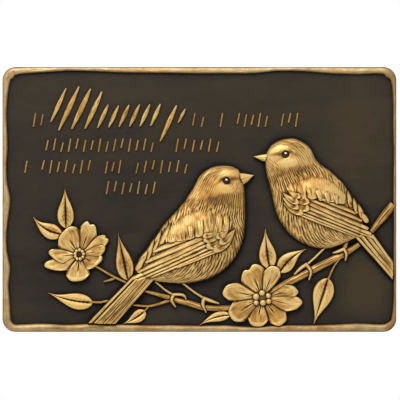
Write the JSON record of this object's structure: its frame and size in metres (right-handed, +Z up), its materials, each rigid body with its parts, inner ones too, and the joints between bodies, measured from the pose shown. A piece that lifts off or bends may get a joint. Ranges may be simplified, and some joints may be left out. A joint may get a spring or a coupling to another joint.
{
  "type": "commemorative wall plaque",
  "caption": "Cast bronze-finish wall plaque with two songbirds in relief on a flowering branch, rows of shallow strokes and a hand-worked raised rim.",
  "frame": {"origin": "middle of the flat back, where it lies against the wall", "axes": "+X to the right seen from the front, +Y out of the back into the wall, +Z up; the relief faces -Y"},
  "size_m": [0.305, 0.0219, 0.205],
  "materials": {
    "antique_gold": "satin antique gold rubbed over a dark brown wash"
  },
  "bodies": {
    "root": {"plaque": "antique_gold"}
  },
  "joints": []
}
